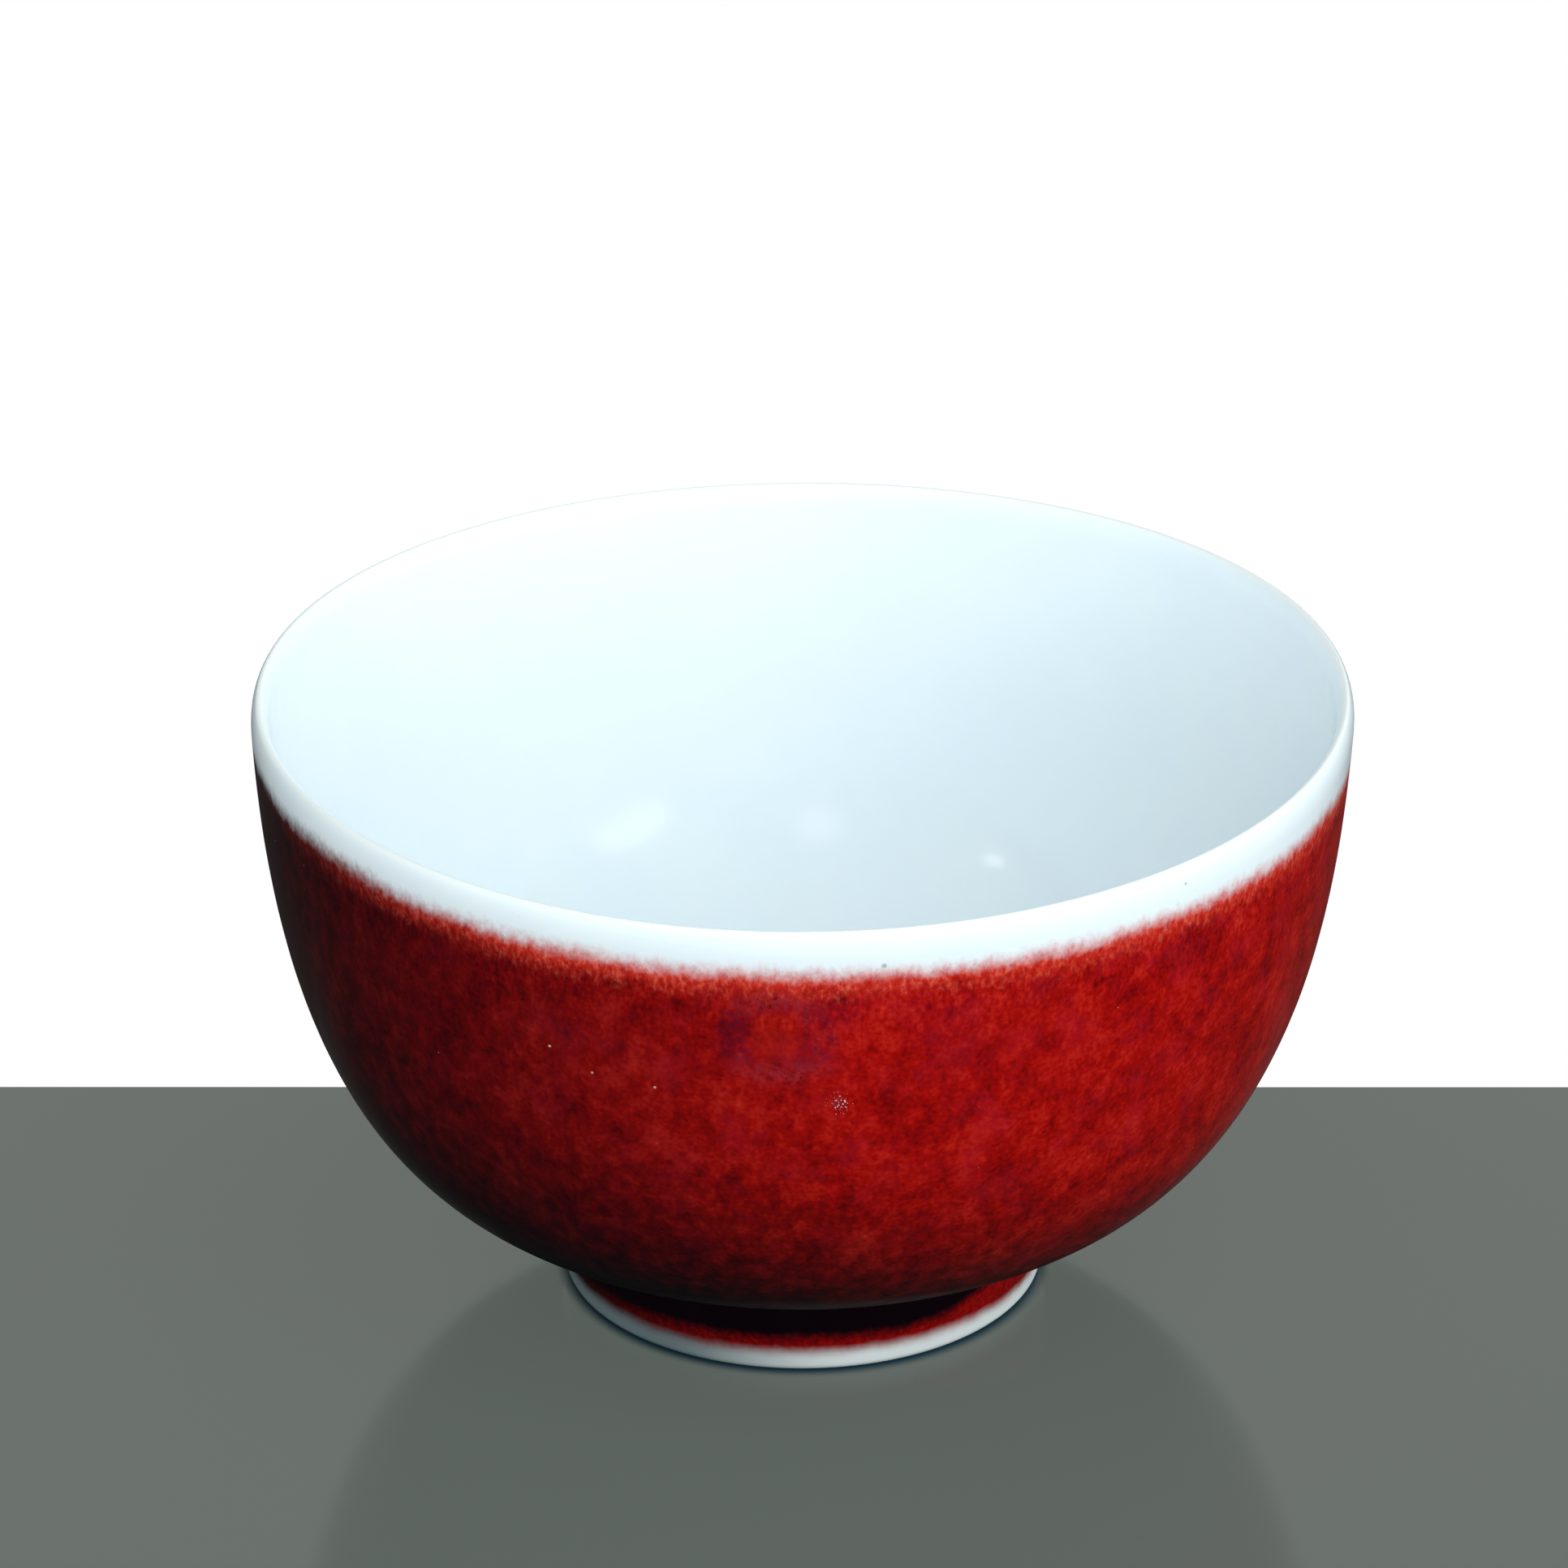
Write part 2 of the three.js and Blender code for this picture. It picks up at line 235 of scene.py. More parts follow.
class Outlines:
    """The runs of stations that the pieces share, worked out from the bowl's sizes."""

    COVE_STEPS = 14
    LIP_STEPS = 28
    BAND_STEPS = 14
    FLOOR_STEPS = 28
    FOOT_STEPS = 24
    ROUND_STEPS = 10

    def __init__(self, shape):
        self.shape = shape
        self.lip_radius = shape.lip_clay / 2
        self.lip_centre = Vector(
            (
                shape.rim_radius - shape.lip_glaze - self.lip_radius,
                shape.height - shape.lip_glaze - self.lip_radius,
            )
        )
        self.handles = self.belly_handles()
        self.red_share = self.share_at(shape.red_top)
        self.inner_share = self.share_at(shape.inner_top)
        self.land_outer = shape.foot_radius - shape.foot_outer_round
        self.land_inner = self.land_outer - shape.foot_land

    def cove(self):
        """Hollow above the foot, from the joint up to the belly."""
        shape = self.shape
        radius = shape.cove_radius + shape.red_glaze
        centre = Vector((shape.foot_top_radius + radius, shape.foot_height))
        return arc(centre, -radius, 0, shape.belly_rise - math.pi / 2, self.COVE_STEPS)

    def belly_handles(self):
        """The cubic curve of the clay's outside from the cove up to the lip."""
        shape = self.shape
        start = self.cove()[-1].point
        lean = Vector((math.sin(shape.wall_lean), math.cos(shape.wall_lean)))
        end = self.lip_centre + self.lip_radius * Vector((lean.y, -lean.x))
        outward = Vector((math.cos(shape.belly_rise), math.sin(shape.belly_rise)))
        return (
            start,
            start + outward * shape.belly_fullness * (end.x - start.x),
            end - lean * shape.wall_fullness * (end.y - start.y),
            end,
        )

    def share_at(self, height):
        """The share of the belly's curve at a height, by halving."""
        low, high = 0.0, 1.0
        for _ in range(40):
            middle = (low + high) / 2
            if cubic(self.handles, middle)[0].y < height:
                low = middle
            else:
                high = middle
        return low

    def wall(self, first, last, steps):
        return [station_on(self.handles, along) for along in shares(first, last, steps)]

    def inside(self, along):
        """The clay's inner face opposite a share of the belly's curve."""
        shape = self.shape
        outside = station_on(self.handles, along)
        clay = blend(shape.foot_clay, shape.lip_clay, along)
        return Station(outside.point - outside.normal * clay, -outside.normal)

    def inner_wall(self):
        """The inner face, from the lip's coat down to the floor."""
        walk = [(down + down**2) / 2 for down in shares(0, 1, self.shape.wall_steps)]
        return [self.inside(self.inner_share * (1 - down)) for down in walk]

    def inner_band(self):
        """The short run between the lip and the inner coat."""
        return [self.inside(along) for along in shares(1, self.inner_share, self.BAND_STEPS)]

    def lip(self):
        lean = self.shape.wall_lean
        return arc(self.lip_centre, self.lip_radius, -lean, math.pi - lean, self.LIP_STEPS)

    def floor(self):
        """The floor, from the wall in to the middle."""
        shape = self.shape
        edge = self.inside(0).point
        reach = edge.x / 3
        middle = Vector((0, shape.foot_height + shape.floor_clay))
        handles = (
            edge,
            edge - reach * Vector((1, math.tan(shape.belly_rise))),
            middle + Vector((reach, 0)),
            middle,
        )
        run = [station_on(handles, along) for along in shares(0, 1, self.FLOOR_STEPS)]
        return run[1:-1] + [Station(middle, Vector((0, 1)))]

    def foot_outside(self, first, last, steps):
        """The foot's outer face between two heights."""
        shape = self.shape
        stations = []
        for height in shares(first, last, steps):
            rise = (height - shape.foot_outer_round) / (shape.foot_height - shape.foot_outer_round)
            radius = blend(shape.foot_radius, shape.foot_top_radius, rise)
            stations.append(Station(Vector((radius, height)), Vector((1, 0))))
        return stations

    def foot_inside(self, first, last, steps):
        """The face of the recess between two heights."""
        shape = self.shape
        mouth = self.land_inner - shape.foot_inner_round
        top = shape.foot_top_radius - shape.foot_wall
        stations = []
        for height in shares(first, last, steps):
            rise = (height - shape.foot_inner_round) / (shape.foot_height - shape.foot_inner_round)
            stations.append(Station(Vector((blend(mouth, top, rise), height)), Vector((-1, 0))))
        return stations


# Meshes


def softened(radius, height, shape):
    """The lip drawn in to a long soft rounding, longer outside than inside."""
    reach = shape.lip_glaze + shape.lip_clay / 2
    crest_radius = shape.rim_radius - reach
    rounding = shape.lip_rounding if radius > crest_radius else shape.lip_inner_rounding
    climbed = 1 - (shape.height - height) / rounding
    if climbed <= 0:
        return radius
    into_arc = max(0, 1 - (shape.height - height) / reach)
    left = max(1 - climbed**2, 1e-6)
    squeeze = math.sqrt(left / max(1 - into_arc**2, left))
    return crest_radius + (radius - crest_radius) * squeeze


def settled(radius, height, turn, shape):
    """Where a turned point lies on the real bowl: uneven from the wheel and warped by the kiln."""
    radius = softened(radius, height, shape)
    risen = height / shape.height
    around = Vector((math.cos(turn), math.sin(turn), 0))
    place = around * 1.6 + Vector((0, 0, risen * 7))
    radius += shape.wheel_marks * noise.noise(place) * ease(risen * 3) * ease(radius / shape.foot_radius)
    radius += shape.rim_pull * (1 + math.cos(turn)) / 2 * risen**2 * ease(radius / shape.foot_radius)
    lift = shape.rim_warp * math.cos(2 * turn) * risen**2
    return (radius * around.x, radius * around.y, height + lift)


def turned(name, outline, shape):
    """A piece turned from an outline of the clay's or the coat's section, solid on the left of the walk."""
    segments = shape.segments
    turns = [2 * math.pi * j / segments for j in range(segments)]
    corners, heights, rings = [], [], []
    for radius, height in outline:
        count = 1 if radius < 1e-9 else segments
        rings.append((len(corners), count))
        corners += [settled(radius, height, turn, shape) for turn in turns[:count]]
        heights += [height] * count
    on_axis = rings[0][1] == 1
    faces = []
    for i in range(len(rings) - (1 if on_axis else 0)):
        (low, low_count), (high, high_count) = rings[i], rings[(i + 1) % len(rings)]
        for j in range(segments):
            k = (j + 1) % segments
            if low_count == 1:
                faces.append((low, high + k, high + j))
            elif high_count == 1:
                faces.append((low + j, low + k, high))
            else:
                faces.append((low + j, low + k, high + k, high + j))
    mesh = bpy.data.meshes.new(name)
    mesh.from_pydata(corners, [], faces)
    mesh.attributes.new("height_on_bowl", "FLOAT", "POINT").data.foreach_set("value", heights)
    mesh.shade_smooth()
    mesh.set_sharp_from_angle(angle=math.radians(40))
    mesh.validate()
    piece = bpy.data.objects.new(name, mesh)
    bpy.context.scene.collection.objects.link(piece)
    return piece


# Shader nodes


class Sheet:
    """Lays down the nodes of one material, light or world."""

    def __init__(self, tree):
        self.tree = tree
        tree.nodes.clear()

    def add(self, kind, inputs=None, **settings):
        node = self.tree.nodes.new(kind)
        for name, value in settings.items():
            setattr(node, name, value)
        for name, value in (inputs or {}).items():
            self.feed(node.inputs[name], value)
        return node

    def feed(self, socket, value):
        if isinstance(value, bpy.types.NodeSocket):
            self.tree.links.new(value, socket)
        else:
            socket.default_value = value

    def math(self, operation, first, second=0.0):
        node = self.add("ShaderNodeMath", operation=operation)
        self.feed(node.inputs[0], first)
        self.feed(node.inputs[1], second)
        return node.outputs[0]

    def total(self, *terms):
        """The sum of several values."""
        result = terms[0]
        for term in terms[1:]:
            result = self.math("ADD", result, term)
        return result

    def centred(self, value, weight):
        """A noise value moved to lie around 0, times a weight."""
        return self.scaled(self.math("SUBTRACT", value, 0.5), weight)

    def noise(self, vector, size, detail=2.0, roughness=0.5):
        """Noise whose blotches measure about size."""
        inputs = {"Vector": vector, "Scale": 1 / size, "Detail": detail, "Roughness": roughness}
        return self.add("ShaderNodeTexNoise", inputs).outputs["Fac"]

    def stretched(self, vector, factors):
        node = self.add("ShaderNodeVectorMath", {0: vector, 1: factors}, operation="MULTIPLY")
        return node.outputs[0]

    def along(self, axis, vector):
        return self.add("ShaderNodeSeparateXYZ", {0: vector}).outputs[axis]

    def scaled(self, value, factor):
        return self.math("MULTIPLY", value, factor)

    def distance(self, vector, place):
        node = self.add("ShaderNodeVectorMath", {0: vector, 1: place}, operation="DISTANCE")
        return node.outputs["Value"]

    def step(self, value, low, high):
        """0 at low and 1 at high, eased between them."""
        inputs = {"Value": value, "From Min": low, "From Max": high}
        return self.add("ShaderNodeMapRange", inputs, interpolation_type="SMOOTHSTEP").outputs["Result"]

    def mix(self, factor, first, second):
        node = self.add("ShaderNodeMix", data_type="RGBA")
        self.feed(node.inputs[0], factor)
        self.feed(node.inputs[6], first)
        self.feed(node.inputs[7], second)
        return node.outputs[2]

    def ramp(self, factor, stops):
        """A colour ramp from (place, colour) stops."""
        node = self.add("ShaderNodeValToRGB", {"Fac": factor})
        elements = node.color_ramp.elements
        while len(elements) < len(stops):
            elements.new(1)
        for element, (place, tint) in zip(elements, stops):
            element.position = place
            element.color = tint
        return node.outputs["Color"]

    def bump(self, height, depth, normal=None):
        inputs = {"Height": height, "Distance": depth, "Strength": 1.0}
        if normal is not None:
            inputs["Normal"] = normal
        return self.add("ShaderNodeBump", inputs).outputs["Normal"]

    def spots(self, vector, spacing, radius, chosen):
        """Small round spots, spacing apart, of which only the chosen share is there."""
        cells = self.add("ShaderNodeTexVoronoi", {"Vector": vector, "Scale": 1 / spacing})
        draws = self.add("ShaderNodeSeparateColor", {0: cells.outputs["Color"]}).outputs["Red"]
        picked = self.math("LESS_THAN", draws, chosen)
        near = self.step(cells.outputs["Distance"], radius / spacing, 0.5 * radius / spacing)
        return self.math("MULTIPLY", near, picked)


def rgba(tint):
    return (*tint, 1.0)


def new_finish(name):
    """A material with its node sheet, its place in the bowl's own space and its height up the bowl."""
    material = bpy.data.materials.new(name)
    material.use_nodes = True
    sheet = Sheet(material.node_tree)
    place = sheet.add("ShaderNodeTexCoord").outputs["Object"]
    height = sheet.add("ShaderNodeAttribute", attribute_name="height_on_bowl").outputs["Fac"]
    return material, sheet, place, height


def finished(material, sheet, tint, normal, constants):
    """Ends a material in one surface shader. Its constants sit on the shader's own sockets."""
    inputs = {"Base Color": tint, "Normal": normal, **constants}
    surface = sheet.add("ShaderNodeBsdfPrincipled", inputs)
    sheet.add("ShaderNodeOutputMaterial", {"Surface": surface.outputs[0]})
    return material


# Middle of the painted reflection ring on the bowl's front.
REFLECTION_RING_CENTRE = (-2.7 * MM, -61.7 * MM, 60.0 * MM)
GLINTS_CENTRE = (3.9 * MM, -60.5 * MM, 51.5 * MM)
FRINGE_HEIGHT = 68.45 * MM
CLEAR_GLOSS = {"Roughness": 0.11, "Specular IOR Level": 0.3}
RED_GLOSS = {"Roughness": 0.19, "Specular IOR Level": 0.22}
CLAY_GLOSS = {"Roughness": 0.6, "Specular IOR Level": 0.12}


def glaze_ripple(sheet, place):
    """The slight unevenness of a glossy glaze, broad swells and fine orange peel."""
    swells = sheet.noise(place, 9 * MM, detail=1)
    peel = sheet.noise(place, 1.1 * MM, detail=2)
    return sheet.bump(peel, 0.006 * MM, sheet.bump(swells, 0.05 * MM))


def white_tint(sheet, place, height, colours, shape):
    """White glaze, bluish where it is thick and creamy where it thins on the crest of the lip."""
    cloud = sheet.noise(place, 14 * MM, detail=3)
    thin = sheet.mix(0.5, rgba(colours.white), rgba(colours.thin_white))
    body = sheet.mix(sheet.step(cloud, 0.35, 0.65), rgba(colours.white), thin)
    uneven = sheet.centred(sheet.noise(place, 4 * MM), 0.6 * MM)
    crest = sheet.step(sheet.math("ADD", height, uneven), shape.height - 0.9 * MM, shape.height - 0.1 * MM)
    return sheet.mix(crest, body, rgba(colours.crest))


def red_tint(sheet, place, height, colours, shape):
    """Copper red: fine dashes, cloudy mottles, plum clouds, and painted shade that darkens it to one side;
    darker towards the foot, partly thicker glaze and partly painted shade.
    """
    below_top = sheet.math("SUBTRACT", shape.red_top, height)
    near_top = sheet.step(below_top, 12 * MM, 4 * MM)
    dashes = sheet.noise(sheet.stretched(place, (1, 1, 0.45)), 0.42 * MM, detail=2, roughness=0.5)
    grain = sheet.noise(place, 0.55 * MM, detail=1, roughness=0.4)
    mottles = sheet.noise(sheet.stretched(place, (1, 1, 0.8)), 1.9 * MM, detail=3, roughness=0.55)
    patches = sheet.noise(place, 7 * MM, detail=3, roughness=0.6)
    factor = sheet.total(
        0.50,
        sheet.scaled(sheet.centred(dashes, 0.45), near_top),
        sheet.centred(grain, 0.36),
        sheet.centred(mottles, 0.52),
        sheet.centred(patches, 0.50),
    )
    stops = [
        (0.06, rgba(colours.black_red_and_shade)),
        (0.32, rgba(colours.deep_red)),
        (0.52, rgba(colours.full_red)),
        (0.70, rgba(colours.bright_red)),
        (0.92, rgba(colours.pale_red)),
    ]
    body = sheet.ramp(factor, stops)
    clouds = sheet.noise(sheet.stretched(place, (1, 1, 1.3)), 8 * MM, detail=4, roughness=0.65)
    plum = sheet.scaled(sheet.step(clouds, 0.50, 0.75), sheet.step(below_top, 26 * MM, 10 * MM))
    clouded = sheet.mix(sheet.scaled(plum, 0.25), body, rgba(colours.plum))
    blushes = sheet.step(sheet.noise(place, 5.5 * MM, detail=3, roughness=0.6), 0.48, 0.70)
    blushed = sheet.mix(sheet.scaled(blushes, 0.2), clouded, rgba(colours.crimson))
    with_reflection_ring = painted_reflection_ring(sheet, place, blushed, colours)
    # Painted shade: the red darkens to black on the side away from the light, and towards the foot, where it is
    # partly thicker glaze.
    across = sheet.along("X", place)
    uneven = sheet.centred(mottles, 12 * MM)
    span = {"Value": sheet.math("ADD", across, uneven), "From Min": -58 * MM, "From Max": 6 * MM, "To Min": 0.04}
    painted_side_light = sheet.add("ShaderNodeMapRange", span).outputs["Result"]
    leaning = sheet.total(height, uneven, sheet.scaled(across, 0.2))
    thinning_and_painted_shade = sheet.step(leaning, 14 * MM, 47 * MM)
    strength = sheet.scaled(painted_side_light, thinning_and_painted_shade)
    return sheet.mix(strength, rgba(colours.black_red_and_shade), with_reflection_ring)


def painted_reflection_ring(sheet, place, tint, colours):
    """A painted reflection of a lamp: one cloudy ring in the red on the bowl's front, plum at its sides and
    pinkish above and below.
    """
    cloudy = sheet.noise(place, 1.1 * MM, detail=3, roughness=0.6)
    wobble = sheet.centred(sheet.noise(place, 4 * MM, detail=3), 3 * MM)
    around = sheet.math("ADD", sheet.distance(place, REFLECTION_RING_CENTRE), wobble)
    ring = sheet.scaled(sheet.step(around, 2.4 * MM, 4.2 * MM), sheet.step(around, 7.5 * MM, 4.8 * MM))
    grainy = sheet.step(sheet.noise(place, 0.45 * MM, detail=2), 0.28, 0.62)
    veiled = sheet.scaled(sheet.scaled(ring, sheet.step(cloudy, 0.22, 0.58)), grainy)
    height = sheet.along("Z", place)
    off_middle = sheet.math("ABSOLUTE", sheet.math("SUBTRACT", height, REFLECTION_RING_CENTRE[2]))
    upper_and_lower = sheet.step(off_middle, 1.5 * MM, 5.5 * MM)
    cloud = sheet.mix(upper_and_lower, rgba(colours.reflection_ring_side), rgba(colours.reflection_ring_end))
    core = sheet.scaled(sheet.step(around, 4 * MM, 1.5 * MM), cloudy)
    warmed = sheet.mix(sheet.scaled(core, 0.25), tint, rgba(colours.flame_red))
    return sheet.mix(sheet.scaled(veiled, 0.85), warmed, cloud)


def painted_glints(sheet, place, tint, colours):
    """Painted glints: a little burst of pale specks under the ring, standing for a lamp's reflection broken up
    by pits in the glaze.
    """
    away = sheet.distance(place, GLINTS_CENTRE)
    near = sheet.step(away, 1.6 * MM, 0.1 * MM)
    glint_noise = sheet.noise(place, 0.22 * MM, detail=1)
    shown = sheet.step(sheet.total(glint_noise, sheet.scaled(near, 0.17)), 0.72, 0.80)
    heart = sheet.scaled(sheet.step(away, 1.3 * MM, 0.3 * MM), 0.5)
    darkened = sheet.mix(heart, tint, rgba(colours.plum))
    kept = sheet.scaled(shown, sheet.math("SIGN", near))
    return sheet.mix(kept, darkened, rgba(colours.painted_glint))


def front_specks(sheet, place, tint, colours):
    """The few single specks on the bowl's front: pale ones in the red, grey ones in the white."""
    pale, grey = rgba(colours.pale_speck), rgba(colours.grey_speck)
    specks = [
        (-27.3 * MM, 55.6 * MM, 0.20 * MM, pale),
        (-22.7 * MM, 53.2 * MM, 0.17 * MM, pale),
        (-15.9 * MM, 52.5 * MM, 0.19 * MM, pale),
        (8.8 * MM, 68.6 * MM, 0.36 * MM, grey),
        (41.6 * MM, 70.9 * MM, 0.20 * MM, grey),
    ]
    seen_from_front = sheet.stretched(place, (1, 0, 1))
    front = sheet.step(sheet.along("Y", place), 0, -5 * MM)
    for across, height, radius, speck in specks:
        near = sheet.step(sheet.distance(seen_from_front, (across, 0, height)), radius, radius / 2)
        tint = sheet.mix(sheet.scaled(near, sheet.scaled(front, 0.7)), tint, speck)
    return tint


def fringe_level(sheet, place):
    """The wavering height where the red gives way to white, higher on one side of the bowl."""
    across = sheet.along("X", place)
    hairs = sheet.noise(sheet.stretched(place, (1, 1, 0.7)), 0.5 * MM, detail=3, roughness=0.6)
    tufts = sheet.noise(sheet.stretched(place, (1, 1, 0.8)), 1.6 * MM, detail=3, roughness=0.6)
    waves = sheet.noise(place, 14 * MM, detail=1)
    return sheet.total(
        FRINGE_HEIGHT,
        sheet.scaled(across, -0.015),
        sheet.centred(hairs, 1.0 * MM),
        sheet.centred(tufts, 2.0 * MM),
        sheet.centred(waves, 1.2 * MM),
    )


def outer_tint(sheet, place, height, colours, shape):
    """Red below and white above, which meet in a feathery fringe over an orange-red band."""
    above = sheet.math("SUBTRACT", height, fringe_level(sheet, place))
    red = red_tint(sheet, place, height, colours, shape)
    flecks = sheet.noise(sheet.stretched(place, (1, 1, 0.55)), 0.6 * MM, detail=3, roughness=0.65)
    stops = [
        (0.30, rgba(colours.fringe_dark)),
        (0.50, rgba(colours.flame_red)),
        (0.72, rgba(colours.fringe_pale)),
    ]
    flames = sheet.ramp(flecks, stops)
    band = sheet.step(sheet.math("ADD", above, sheet.centred(flecks, 3 * MM)), -4.0 * MM, -0.7 * MM)
    # Painted shade: the orange-red band fades out on the side away from the light.
    across = sheet.along("X", place)
    lit_side = sheet.step(across, -64 * MM, -24 * MM)
    warmed = sheet.mix(sheet.scaled(band, lit_side), red, flames)
    white = white_tint(sheet, place, height, colours, shape)
    return sheet.mix(sheet.step(above, -1.6 * MM, 1.3 * MM), warmed, white)


def foot_tint(sheet, place, height, colours, shape):
    """Clay at the foot's tip, a red band over it, then black below the belly, partly pooled glaze and partly
    painted shadow of the belly. Painted shade darkens the red and the clay to one side, and painted light
    brightens the red on the other.
    """
    across = sheet.along("X", place)
    grain = sheet.noise(place, 0.6 * MM, detail=3, roughness=0.6)
    blotches = sheet.noise(place, 3 * MM, detail=2)
    # Painted shadow: the black band stands partly for the belly's shadow, so its lower edge climbs on the lit
    # side.
    climb = sheet.scaled(sheet.step(across, 13 * MM, 38 * MM), 8 * MM)
    level = sheet.total(4.6 * MM, climb, sheet.centred(blotches, 1.0 * MM), sheet.centred(grain, 0.6 * MM))
    above = sheet.math("SUBTRACT", height, level)
    mottled = sheet.mix(sheet.step(grain, 0.36, 0.74), rgba(colours.deep_red), rgba(colours.full_red))
    # Painted light and shade: the red band is brightened towards the lit side and darkened to black on the
    # other.
    lit_side = sheet.step(across, -10 * MM, 30 * MM)
    painted_lit_red = sheet.mix(sheet.scaled(lit_side, 0.1), mottled, rgba(colours.bright_red))
    red = sheet.mix(sheet.step(across, -32 * MM, 2 * MM), rgba(colours.black_red_and_shade), painted_lit_red)
    pooled_and_shadowed = sheet.mix(sheet.step(above, -1.3 * MM, 0.9 * MM), red, rgba(colours.black_red_and_shade))
    edge = sheet.math("ADD", height, sheet.centred(blotches, 0.8 * MM))
    shown = sheet.step(edge, shape.bare_foot - 1.0 * MM, shape.bare_foot + 1.2 * MM)
    # Painted shade: the bare band darkens towards the side away from the light.
    painted_shade_share = sheet.scaled(sheet.step(across, 6 * MM, -16 * MM), 0.97)
    clay = sheet.mix(painted_shade_share, rgba(colours.clay), rgba(colours.painted_shade_clay))
    return sheet.mix(shown, clay, pooled_and_shadowed)


def outer_finish(name, colours, shape):
    """The glaze outside, the same on the red coat and the lip's coat, as the fringe runs over both."""
    material, sheet, place, height = new_finish(name)
    tint = outer_tint(sheet, place, height, colours, shape)
    pits = sheet.scaled(sheet.spots(place, 1.9 * MM, 0.09 * MM, 0.08), 0.6)
    pitted = sheet.mix(pits, painted_glints(sheet, place, tint, colours), rgba(colours.pit))
    marked = front_specks(sheet, place, pitted, colours)
    dulled = sheet.scaled(sheet.step(height, 22 * MM, 14 * MM), 0.4)
    gloss = {**RED_GLOSS, "Roughness": sheet.math("ADD", RED_GLOSS["Roughness"], dulled)}
    return finished(material, sheet, marked, glaze_ripple(sheet, place), gloss)


def foot_finish(name, colours, shape):
    material, sheet, place, height = new_finish(name)
    tint = foot_tint(sheet, place, height, colours, shape)
    return finished(material, sheet, tint, glaze_ripple(sheet, place), RED_GLOSS)


def clear_finish(name, colours, shape):
    material, sheet, place, height = new_finish(name)
    tint = white_tint(sheet, place, height, colours, shape)
    specks = sheet.spots(place, 9 * MM, 0.09 * MM, 0.06)
    specked = sheet.mix(specks, tint, rgba(colours.iron_speck))
    return finished(material, sheet, specked, glaze_ripple(sheet, place), CLEAR_GLOSS)


def clay_finish(name, colours, shape):
    """Fired clay, flushed with red below the foot's glaze, and with the foot's painted light, shade and shadow
    on its outside.
    """
    material, sheet, place, height = new_finish(name)
    grain = sheet.noise(place, 0.25 * MM, detail=3)
    clouds = sheet.noise(place, 5 * MM, detail=3)
    shade = sheet.math("ADD", sheet.centred(grain, 0.12), sheet.centred(clouds, 0.3))
    body = sheet.mix(sheet.math("ADD", 0.5, shade), rgba(colours.dull_clay), rgba(colours.clay))
    rust = sheet.spots(place, 4 * MM, 0.25 * MM, 0.08)
    speckled = sheet.mix(sheet.scaled(rust, 0.7), body, rgba(colours.rust))
    axis_only = sheet.stretched(place, (1, 1, 0))
    outside = sheet.step(sheet.distance(axis_only, (0, 0, 0)), 26 * MM, 27 * MM)
    foot_colours_with_shade = foot_tint(sheet, place, height, colours, shape)
    tint = sheet.mix(outside, speckled, foot_colours_with_shade)
    return finished(material, sheet, tint, sheet.bump(grain, 0.01 * MM), CLAY_GLOSS)


# Pieces


def outlines_and_colours(context):
    return Outlines(context.scene.bowl_shape), context.scene.bowl_colours


class BOWL_OT_clay_body(Operator):
    """The thrown clay of the wall and floor, which shows nowhere but gives the coats their seat"""

    bl_idname = "bowl.clay_body"
    bl_label = "Clay Body"

    def execute(self, context):
        lines, colours = outlines_and_colours(context)
        shape = lines.shape
        outside = lines.wall(0, 1, shape.wall_steps)
        run = lines.cove() + outside[1:] + lines.lip()[1:] + lines.inner_band()[1:] + lines.inner_wall()[1:]
        outline = [Vector((0, shape.foot_height))] + points(run + lines.floor())
        piece = turned("clay_body", outline, shape)
        piece.data.materials.append(clay_finish("porcelain_clay", colours, shape))
        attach(piece, BODY)
        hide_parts("bowl_body")
        return {"FINISHED"}


class BOWL_OT_foot_ring(Operator):
    """The clay ring that the bowl stands on, bare at its tip"""

    bl_idname = "bowl.foot_ring"
    bl_label = "Foot Ring"

    def execute(self, context):
        lines, colours = outlines_and_colours(context)
        shape = lines.shape
        outer_centre = Vector((lines.land_outer, shape.foot_outer_round))
        inner_centre = Vector((lines.land_inner, shape.foot_inner_round))
        quarter = math.pi / 2
        tip = arc(outer_centre, shape.foot_outer_round, -quarter, 0, lines.ROUND_STEPS)
        outer = lines.foot_outside(shape.foot_outer_round, shape.foot_height, lines.FOOT_STEPS)
        inner = lines.foot_inside(shape.foot_height, shape.foot_inner_round, lines.FOOT_STEPS)
        heel = arc(inner_centre, shape.foot_inner_round, math.pi, math.pi + quarter, lines.ROUND_STEPS)
        piece = turned("turned_foot_ring", points(tip + outer[1:] + inner + heel[1:]), shape)
        piece.data.materials.append(clay_finish("bare_clay", colours, shape))
        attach(piece, BODY)
        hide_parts("foot_ring")
        return {"FINISHED"}


class BOWL_OT_red_glaze(Operator):
    """The copper-red coat on the wall, from the cove up to the lip's coat"""

    bl_idname = "bowl.red_glaze"
    bl_label = "Red Glaze"

    def execute(self, context):
        lines, colours = outlines_and_colours(context)
        shape = lines.shape
        cove = lines.cove()
        wall = lines.wall(0, lines.red_share, shape.wall_steps)
        run = cove + wall[1:]

        def thickness(i):
            climbed = max(0, i - len(cove) + 1) / shape.wall_steps
            return blend(shape.red_glaze, shape.lip_glaze, climbed)

        piece = turned("red_coat", raised(run, thickness) + points(run)[::-1], shape)
        piece.data.materials.append(outer_finish("red_glaze", colours, shape))
        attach(piece, BODY)
        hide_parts("red_glaze")
        return {"FINISHED"}


